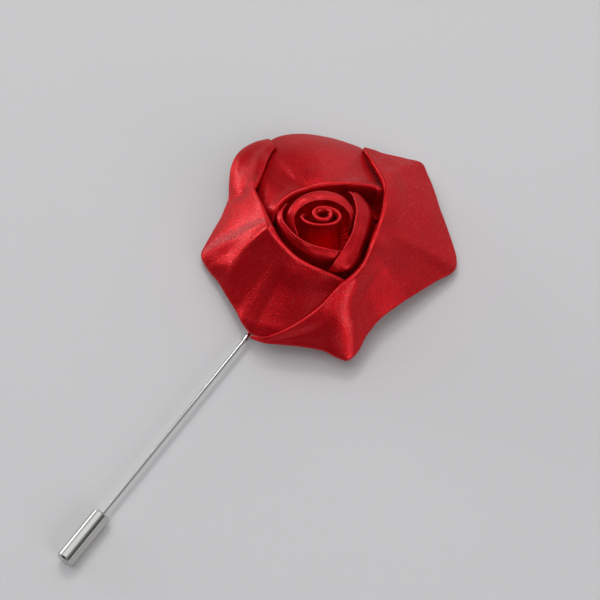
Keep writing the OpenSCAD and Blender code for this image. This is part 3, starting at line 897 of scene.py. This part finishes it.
studio = {
    "floorHalf": 3.0,
    "floorColour": (0.67, 0.66, 0.665, 1),
    "floorRoughness": 0.8,
    "floorSpecular": 0.3,
    "tooth": 1500,  # bumps of the floor in a metre
    "toothStrength": 0.15,
    "toothHeight": 0.05 * mm,
    "worldColour": (0.97, 0.98, 1.0, 1),
    "worldLight": 0.70,
    "worldDark": 0.04,
    # each lobe's azimuth and elevation, and the cosines where it starts and is full
    "dark": [
        (view["azimuth"] + 20, -5, 0.5, 0.85),
        (view["azimuth"] + 88, 50, 0.86, 0.95),
        (view["azimuth"] - 62, 34, 0.70, 0.90),
        (view["azimuth"] - 96, 17, 0.925, 0.985),
        (view["azimuth"] - 156, 18, 0.895, 0.985),
    ],
    # the same, and how much light each adds
    "bright": [
        (view["azimuth"] - 165, 70, 0.5, 1.0, 0.35),
        (view["azimuth"] - 127, 3, 0.94, 0.99, 4.8),
        (view["azimuth"] + 168, 16, 0.93, 0.99, 0.16),
        (view["azimuth"] + 42, 24, 0.94, 0.99, 3.4),
        (view["azimuth"] - 84, 64, 0.96, 0.99, 1.8),
    ],
    "lampFrom": (view["azimuth"] - 168, 54.0),
    "lampDistance": 0.65,
    "lampSize": 0.16,
    "lampWatts": 0.65,
    "lampColour": (1.0, 0.985, 0.96),
}


# The pale surface that the pin lies on: one square with a fine tooth.
def addFloor():
    half = studio["floorHalf"]
    mesh = bpy.data.meshes.new("floor")
    corners = [(-half, -half), (half, -half), (half, half), (-half, half)]
    mesh.from_pydata([(x, y, surfaceZ) for x, y in corners], [], [(0, 1, 2, 3)])
    floor = bpy.data.objects.new("floor", mesh)
    bpy.context.scene.collection.objects.link(floor)
    pale = Finish(bpy.data.materials.new("pale surface"))
    point = pale.node("ShaderNodeTexCoord", {}, {}, "Object")
    tooth = pale.noise(point, (studio["tooth"],) * 3, 2.0)
    bump = pale.node("ShaderNodeBump", {}, {
        "Strength": studio["toothStrength"], "Distance": studio["toothHeight"], "Height": tooth})
    pale.feedShader("Principled BSDF", {
        "Base Color": studio["floorColour"],
        "Roughness": studio["floorRoughness"],
        "Specular IOR Level": studio["floorSpecular"],
        "Normal": bump,
    })
    mesh.materials.append(pale.holder)


# The room as a world of even light: each dark lobe takes its share of it away and each
# bright one adds some, smoothly with the cosine of the angle to the lobe's middle.
def addRoom():
    world = Finish(bpy.data.worlds.new("studio"))
    direction = world.node("ShaderNodeTexCoord", {}, {}, "Generated")

    def lobe(azimuth, elevation, low, high):
        along = world.node("ShaderNodeVectorMath", {"operation": "DOT_PRODUCT"},
                           {0: direction, 1: towards(azimuth, elevation)}, "Value")
        return world.step(along, low, high)

    strength = studio["worldLight"] - studio["worldDark"]
    for azimuth, elevation, low, high in studio["dark"]:
        strength = (1 - lobe(azimuth, elevation, low, high)) * strength
    strength = strength + studio["worldDark"]
    for azimuth, elevation, low, high, light in studio["bright"]:
        strength = strength + lobe(azimuth, elevation, low, high) * light
    world.feedShader("Background", {"Color": studio["worldColour"], "Strength": strength})
    bpy.context.scene.world = world.holder


# One round lamp that faces the rose.
def addLamp():
    back = towards(*studio["lampFrom"])
    data = bpy.data.lights.new("key", "AREA")
    data.shape = "DISK"
    data.size = studio["lampSize"]
    data.energy = studio["lampWatts"]
    data.color = studio["lampColour"]
    lamp = bpy.data.objects.new("key", data)
    place = Matrix.Translation(Vector(rose["place"]) + back * studio["lampDistance"])
    lamp.matrix_world = place @ back.to_track_quat("Z", "Y").to_matrix().to_4x4()
    bpy.context.scene.collection.objects.link(lamp)


addFloor()
addRoom()
addLamp()
bpy.context.scene.view_settings.view_transform = "Standard"
print("studio ready")
